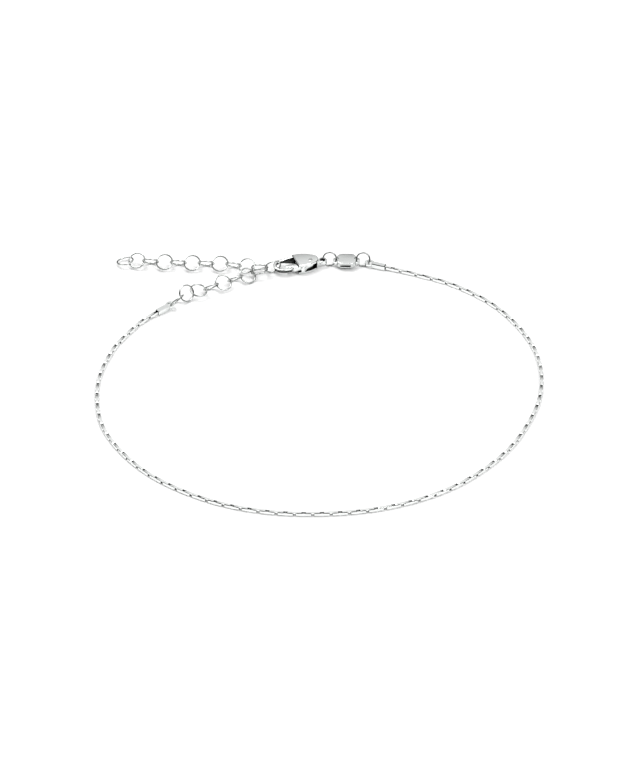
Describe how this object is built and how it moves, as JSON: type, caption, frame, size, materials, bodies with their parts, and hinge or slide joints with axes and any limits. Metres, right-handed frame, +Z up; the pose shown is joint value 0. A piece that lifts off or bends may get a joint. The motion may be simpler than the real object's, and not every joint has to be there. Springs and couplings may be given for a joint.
{
  "type": "chain anklet",
  "caption": "Fine box-chain anklet with a lobster clasp, a bare tag plate, folded end caps and a ring-link extender, lying closed.",
  "frame": {"origin": "centre of the underside of the whole anklet's box, on the surface it lies on", "axes": "+Z up from the surface, +Y from the middle of the loop towards the tag plate and clasp, +X from the clasp towards the tag plate"},
  "size_m": [0.0798, 0.0798, 0.0031],
  "materials": {
    "chain_metal": "polished",
    "link_metal": "polished",
    "clasp_metal": "polished",
    "plate_metal": "polished"
  },
  "bodies": {
    "anklet": {"fine_chain": "chain_metal", "end_cap_left": "link_metal", "end_cap_right": "link_metal", "extender_link_01": "link_metal", "extender_link_02": "link_metal", "extender_link_03": "link_metal", "extender_link_04": "link_metal", "extender_link_05": "link_metal", "extender_link_06": "link_metal", "extender_link_07": "link_metal", "extender_link_08": "link_metal", "extender_link_09": "link_metal", "extender_link_10": "link_metal", "extender_link_11": "link_metal", "extender_link_12": "link_metal", "extender_link_13": "link_metal", "extender_link_14": "link_metal", "extender_link_15": "link_metal", "extender_link_16": "link_metal", "extender_link_17": "link_metal", "extender_link_18": "link_metal", "extender_link_19": "link_metal", "extender_link_20": "link_metal", "jump_ring_clasp": "link_metal", "jump_ring_chain": "link_metal", "clasp_body": "clasp_metal", "clasp_pin": "clasp_metal", "tag_plate": "plate_metal"},
    "lever": {"clasp_lever": "clasp_metal"}
  },
  "joints": [
    {"name": "clasp_lever_hinge", "type": "hinge", "parent": "anklet", "child": "lever", "pos_m": [-0.00176, 0.03685, 0.001], "axis": [0, 0, -1], "range_deg": [0, 18], "stiffness_Nm_per_rad": 0.001, "springref_deg": -11.46}
  ]
}
